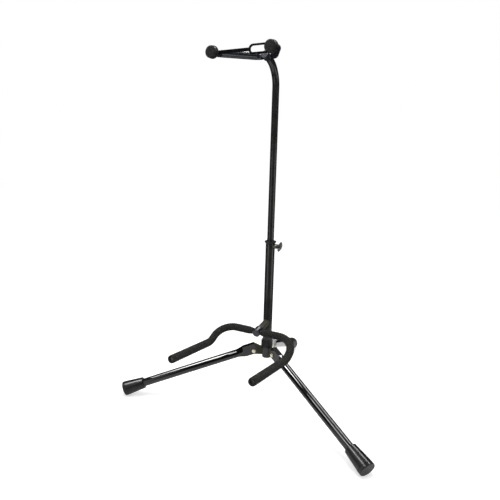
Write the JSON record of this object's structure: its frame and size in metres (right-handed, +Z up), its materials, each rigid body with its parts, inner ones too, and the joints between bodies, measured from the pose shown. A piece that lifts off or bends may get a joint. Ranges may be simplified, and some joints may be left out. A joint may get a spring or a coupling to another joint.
{
  "type": "folding guitar stand",
  "caption": "Folding tripod stand with a telescopic mast, a padded cradle for a guitar's body and a padded yoke with a strap for its neck.",
  "frame": {"origin": "on the floor, under the middle of the spread stand", "axes": "+Z up along the mast, -Y towards the front, where the cradle and the yoke reach, +X to the right seen from the front"},
  "size_m": [0.6534, 0.6354, 0.8408],
  "materials": {
    "leg_paint": "gloss black enamel",
    "boot_rubber": "satin",
    "grey_paint": "satin olive grey enamel",
    "rivet_zinc": "bright zinc plate",
    "tube_paint": "satin black enamel",
    "foam": "matt ribbed foam",
    "rod_steel": "plain",
    "sleeve_rubber": "smooth satin",
    "knob_rubber": "mottled matt",
    "strap_rubber": "gloss",
    "black_plastic": "moulded"
  },
  "bodies": {
    "mast": {"lower_tube": "tube_paint", "tube_plug": "black_plastic", "hub_sleeve": "grey_paint", "left_ear": "grey_paint", "right_ear": "grey_paint", "rear_ear": "grey_paint", "left_rivet": "rivet_zinc", "right_rivet": "rivet_zinc", "rear_rivet": "rivet_zinc", "cradle_stub": "grey_paint", "cradle_collar": "sleeve_rubber", "cradle_rod": "rod_steel", "left_cradle_foam": "foam", "right_cradle_foam": "foam", "height_bushing": "black_plastic", "bolt_boss": "rivet_zinc"},
    "left_leg_set": {"left_leg": "leg_paint", "left_boot": "boot_rubber"},
    "right_leg_set": {"right_leg": "leg_paint", "right_boot": "boot_rubber"},
    "rear_leg_set": {"rear_leg": "leg_paint", "rear_boot": "boot_rubber"},
    "nut": {"lock_nut": "black_plastic"},
    "guide": {"guide_plug": "black_plastic"},
    "neck": {"upper_tube": "tube_paint", "yoke_collar": "sleeve_rubber", "yoke_rod": "rod_steel", "left_yoke_sleeve": "sleeve_rubber", "right_yoke_sleeve": "sleeve_rubber", "left_yoke_knob": "knob_rubber", "right_yoke_knob": "knob_rubber", "neck_strap": "strap_rubber"},
    "shoe": {"brake_shoe": "black_plastic"},
    "wing": {"wing_screw": "rod_steel", "wing_head": "black_plastic"}
  },
  "joints": [
    {"name": "left_leg_fold", "type": "hinge", "parent": "mast", "child": "left_leg_set", "pos_m": [-0.02858, -0.06211, 0.133], "axis": [0.5, -0.866, 0], "range_deg": [0, 70]},
    {"name": "right_leg_fold", "type": "hinge", "parent": "mast", "child": "right_leg_set", "pos_m": [0.02858, -0.06211, 0.133], "axis": [0.5, 0.866, 0], "range_deg": [0, 70]},
    {"name": "rear_leg_fold", "type": "hinge", "parent": "mast", "child": "rear_leg_set", "pos_m": [-0.00742, -0.01346, 0.133], "axis": [-0.9744, -0.225, 0], "range_deg": [0, 70]},
    {"name": "nut_turn", "type": "hinge", "parent": "mast", "child": "nut", "pos_m": [0, -0.04561, 0.153], "axis": [0, 0, 1], "continuous": true},
    {"name": "height_slide", "type": "slide", "parent": "mast", "child": "guide", "axis": [0, 0, 1], "range_m": [-0.19, 0.028]},
    {"name": "neck_turn", "type": "hinge", "parent": "guide", "child": "neck", "pos_m": [0, -0.04561, 0.331], "axis": [0, 0, 1], "continuous": true},
    {"name": "shoe_slide", "type": "slide", "parent": "mast", "child": "shoe", "axis": [1, 0, 0], "range_m": [0, 0.0025]},
    {"name": "wing_turn", "type": "hinge", "parent": "shoe", "child": "wing", "pos_m": [0.018, -0.04561, 0.403], "axis": [1, 0, 0], "range_deg": [0, 720]}
  ],
  "couplings": [
    {"joint": "shoe_slide", "follows": "wing_turn", "m_per_rad": 0.00019894}
  ]
}
